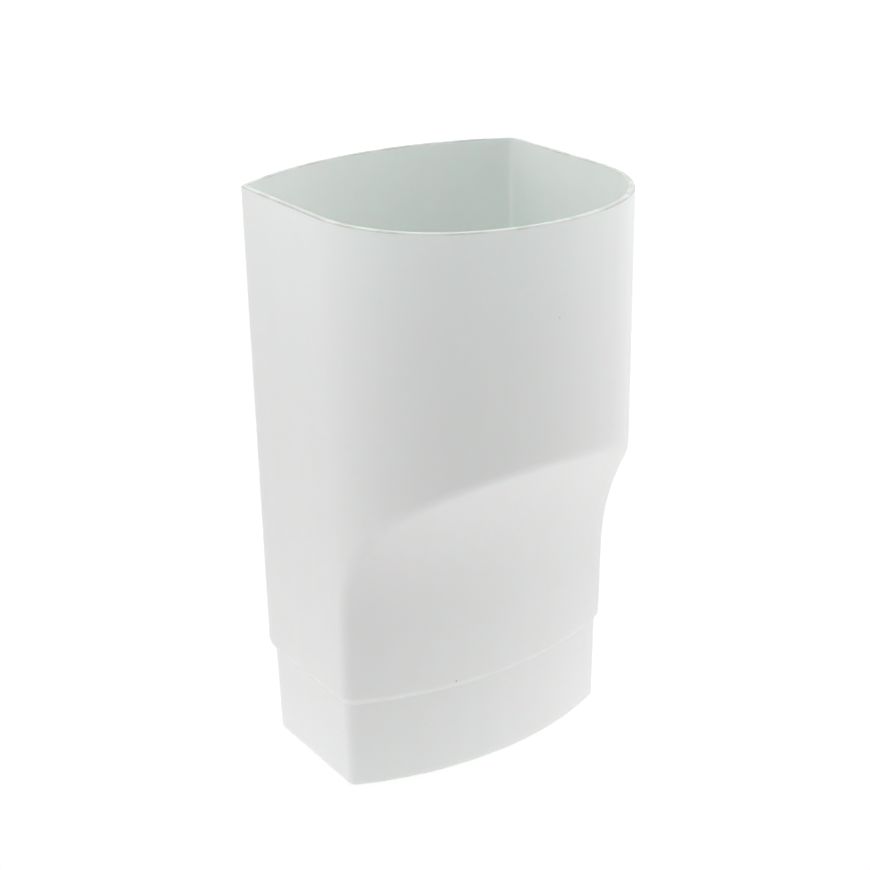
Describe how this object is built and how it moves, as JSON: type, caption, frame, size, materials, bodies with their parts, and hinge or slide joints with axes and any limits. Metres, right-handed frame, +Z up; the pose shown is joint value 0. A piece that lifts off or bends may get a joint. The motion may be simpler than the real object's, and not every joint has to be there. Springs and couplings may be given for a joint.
{
  "type": "downspout adapter",
  "caption": "Moulded plastic adapter that joins a large round-fronted downspout above to a smaller rectangular downspout below, with a cove under its front.",
  "frame": {"origin": "middle of the plan, level with the lower rim of the spigot", "axes": "+Z up through the duct to the socket, -Y towards the round front with the cove, +X across to the right when seen from the front"},
  "size_m": [0.08, 0.0814, 0.1453],
  "materials": {
    "white_plastic": "satin, moulded"
  },
  "bodies": {
    "root": {"adapter_body": "white_plastic"}
  },
  "joints": []
}
